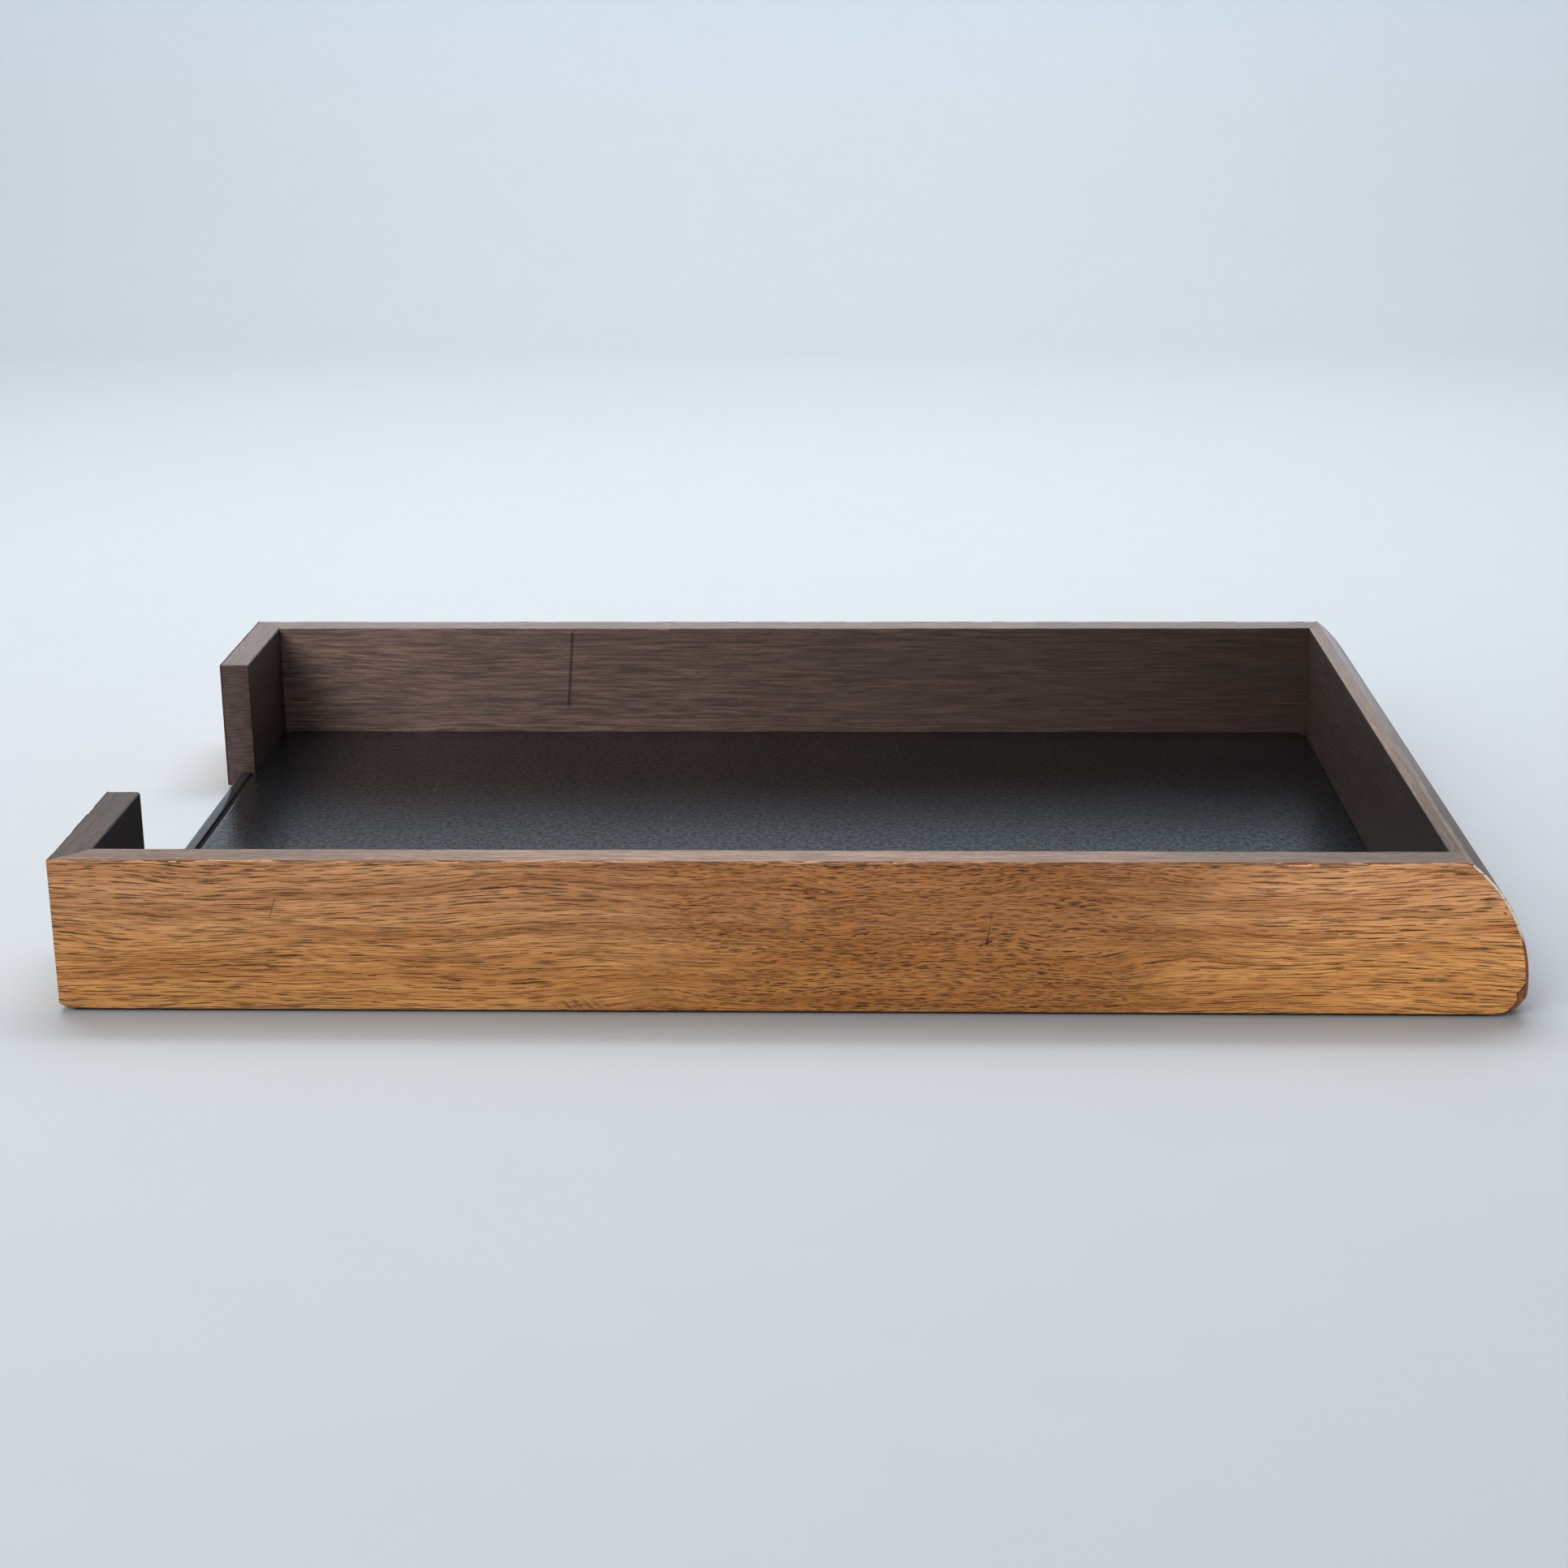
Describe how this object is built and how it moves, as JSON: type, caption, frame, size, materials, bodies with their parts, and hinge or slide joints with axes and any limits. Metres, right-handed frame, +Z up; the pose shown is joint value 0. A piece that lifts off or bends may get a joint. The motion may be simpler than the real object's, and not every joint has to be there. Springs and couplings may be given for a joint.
{
  "type": "desk letter tray",
  "caption": "Shallow wooden desk tray for papers, with a finger gap at the front, a rounded rear end and a dark lined floor; also lies in a drawer as an organizer insert.",
  "frame": {"origin": "centre of the footprint, on the surface the tray stands on", "axes": "+X from the finger gap at the front to the rounded rear end, +Y from the near side rail to the far side rail, +Z up"},
  "size_m": [0.383, 0.254, 0.0423],
  "materials": {
    "stained_hardwood": "dark walnut stain, dull wax",
    "face_veneer": "golden open-grained veneer, worn satin varnish",
    "nose_veneer": "dark stained bent veneer, satin",
    "base_board": "plain hardboard, unfinished",
    "liner": "black finely grained leathercloth, half gloss",
    "sill": "black gloss edging",
    "felt": "dark felt",
    "joinery_wood": "plain birch, unfinished",
    "pin_steel": "drawn wire"
  },
  "bodies": {
    "root": {"near_side_rail": "stained_hardwood", "far_side_rail": "stained_hardwood", "rounded_end_block": "stained_hardwood", "near_front_return": "stained_hardwood", "far_front_return": "stained_hardwood", "near_side_veneer": "face_veneer", "far_side_veneer": "face_veneer", "near_return_veneer": "face_veneer", "far_return_veneer": "face_veneer", "rounded_end_veneer": "nose_veneer", "base_board": "base_board", "floor_liner": "liner", "sill_strip": "sill", "base_felt": "felt", "near_mitre_spline": "joinery_wood", "far_mitre_spline": "joinery_wood", "near_end_dowels": "joinery_wood", "far_end_dowels": "joinery_wood", "base_pins": "pin_steel"}
  },
  "joints": []
}
